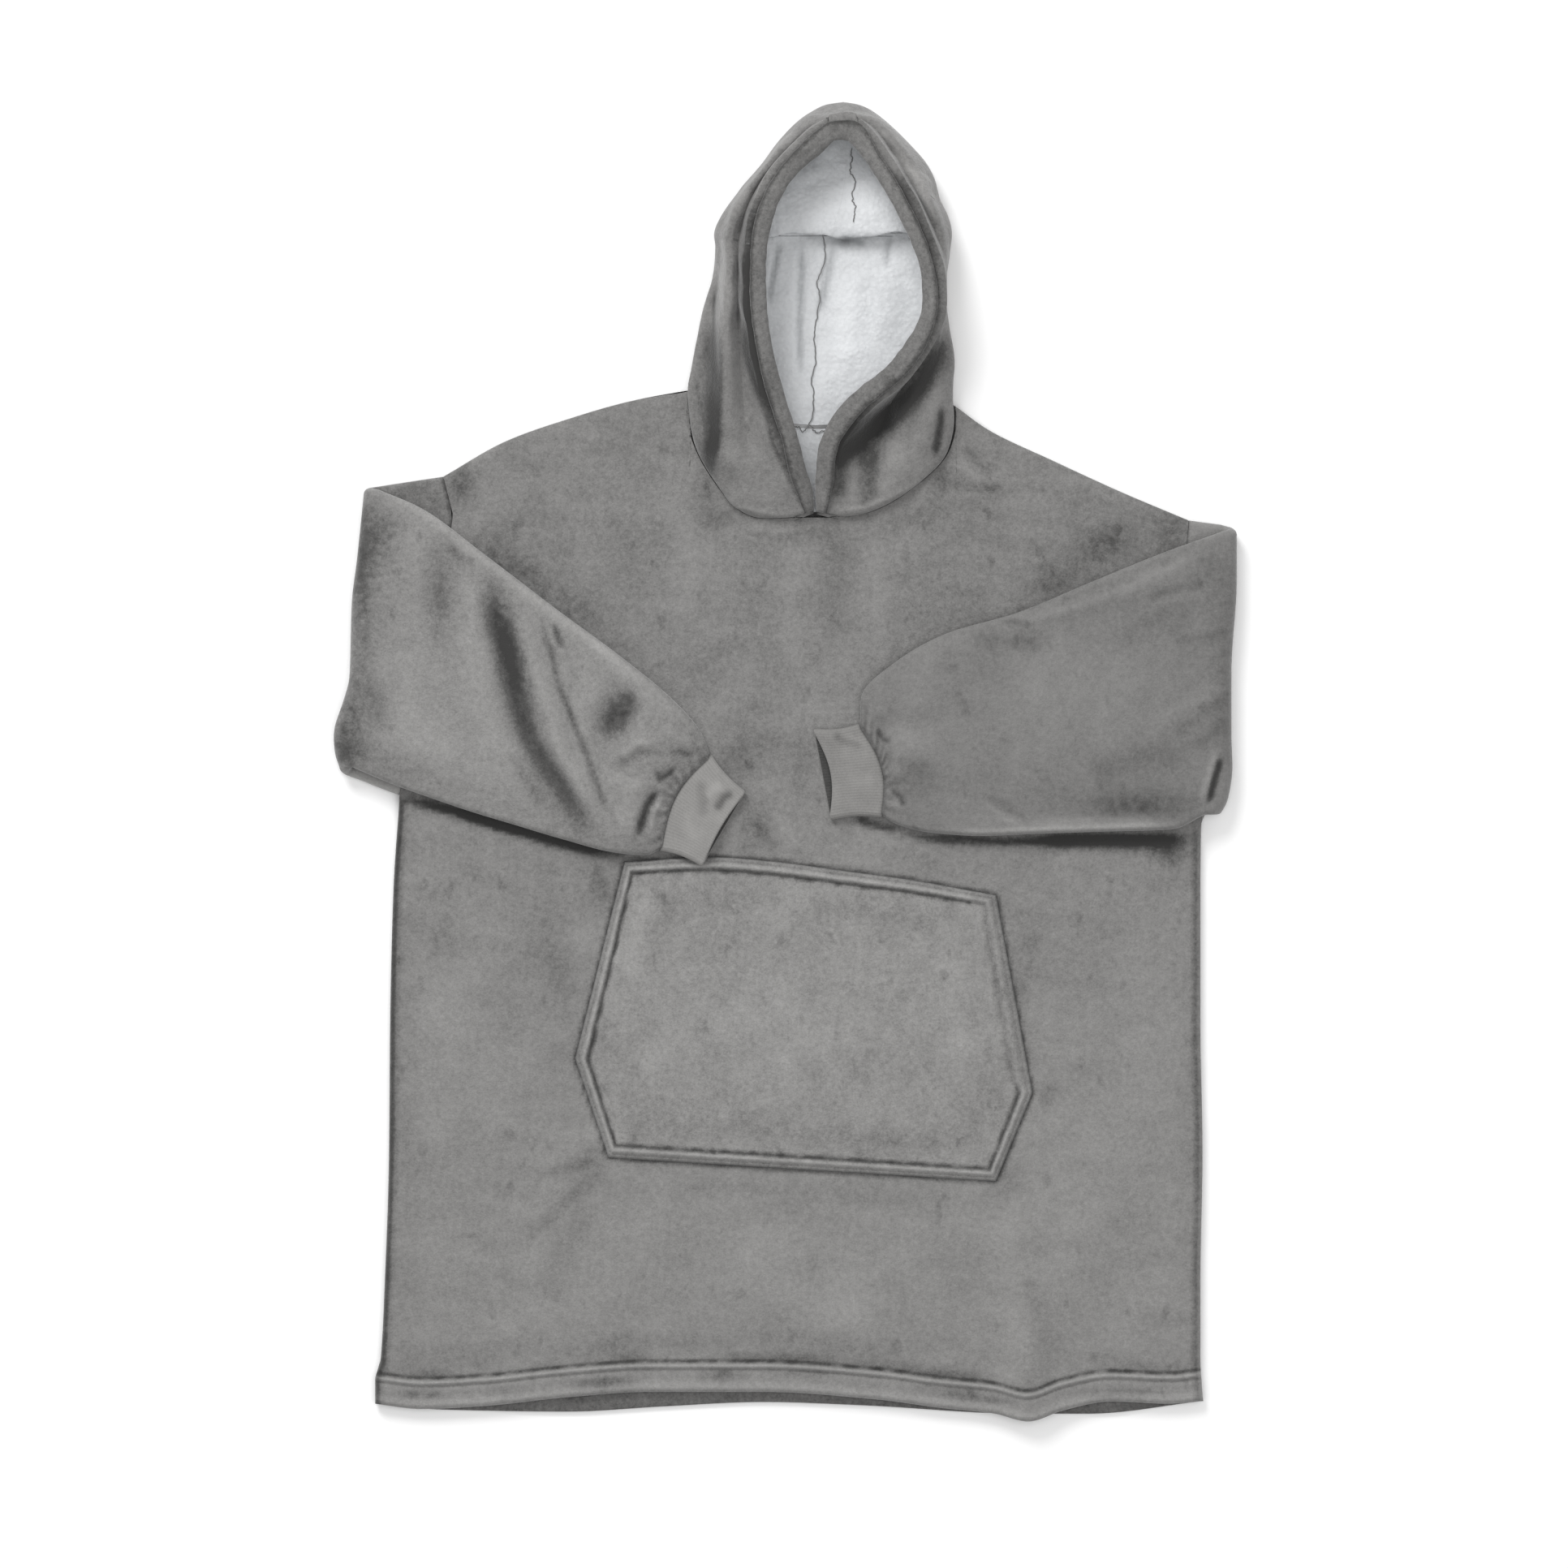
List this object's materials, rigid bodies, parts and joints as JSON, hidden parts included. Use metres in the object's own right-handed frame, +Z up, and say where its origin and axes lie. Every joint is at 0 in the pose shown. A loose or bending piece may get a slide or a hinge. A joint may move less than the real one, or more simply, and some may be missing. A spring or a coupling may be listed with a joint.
{
  "type": "wearable blanket hoodie",
  "caption": "Oversized plush hoodie with a sherpa-lined hood, ribbed cuffs and a front pouch pocket, laid flat with its sleeves folded across the chest.",
  "frame": {"origin": "centre of the garment's footprint, on the surface that it lies on", "axes": "+Z up off the surface, +Y from the hem towards the hood, -X towards the wearer's right"},
  "size_m": [0.8422, 1.229, 0.0789],
  "materials": {
    "plush": "short brushed pile",
    "rib": "rib knit",
    "sherpa": "curled fleece pile"
  },
  "bodies": {
    "root": {"front": "plush", "back": "plush", "pocket": "plush", "back_neck_lining": "sherpa", "sleeve_right": "plush", "cuff_right": "rib", "hood_right": "plush", "hood_lining_right": "sherpa", "sleeve_left": "plush", "cuff_left": "rib", "hood_left": "plush", "hood_lining_left": "sherpa", "hood_hem": "plush"}
  },
  "joints": []
}
